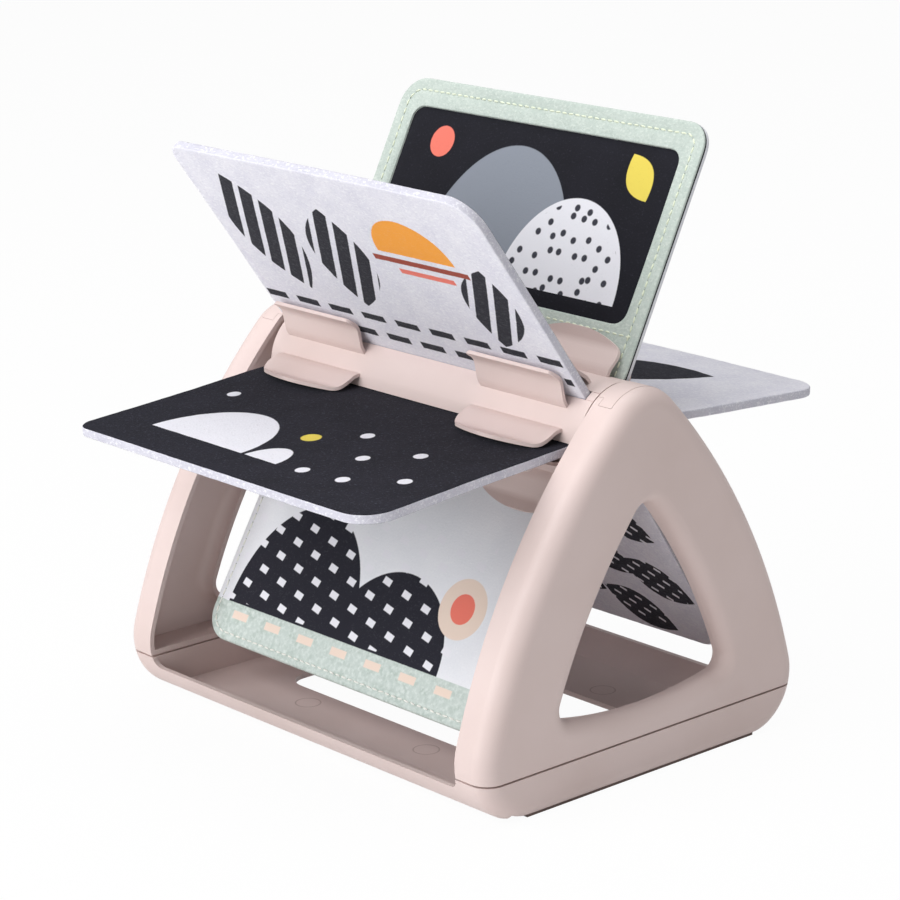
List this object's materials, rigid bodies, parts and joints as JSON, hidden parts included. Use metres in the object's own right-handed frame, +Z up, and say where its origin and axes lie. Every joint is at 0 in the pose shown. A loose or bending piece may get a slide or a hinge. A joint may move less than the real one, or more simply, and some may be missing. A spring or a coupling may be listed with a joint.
{
  "type": "spinning baby book",
  "caption": "Tabletop spinning book for a baby: felt and padded cloth pages clipped to a hub that turns between arched side frames on a tray base.",
  "frame": {"origin": "on the floor, below the middle of the hub axis", "axes": "+Z up, +X along the hub axis, -Y towards the front"},
  "size_m": [0.212, 0.2381, 0.237],
  "materials": {
    "stand_plastic": "satin",
    "foot_rubber": "matte",
    "pin_plastic": "satin",
    "white_felt": "matte",
    "black_felt": "matte",
    "green_cloth": "matte",
    "white_cloth": "matte"
  },
  "bodies": {
    "frame": {"base_tray": "stand_plastic", "right_side_frame": "stand_plastic", "left_side_frame": "stand_plastic", "right_axle_cap": "stand_plastic", "left_axle_cap": "stand_plastic", "right_foot_strip": "foot_rubber", "left_foot_strip": "foot_rubber"},
    "spinner": {"hub_front_half": "stand_plastic", "hub_back_half": "stand_plastic", "right_axle_pin": "pin_plastic", "left_axle_pin": "pin_plastic", "white_felt_page": "white_felt", "striped_felt_page": "white_felt", "dashed_felt_page": "white_felt", "black_felt_page": "black_felt", "green_border_page": "green_cloth", "banded_fabric_page": "white_cloth"}
  },
  "joints": [
    {"name": "hub_spin", "type": "hinge", "parent": "frame", "child": "spinner", "pos_m": [0, 0, 0.128], "axis": [1, 0, 0], "continuous": true}
  ]
}
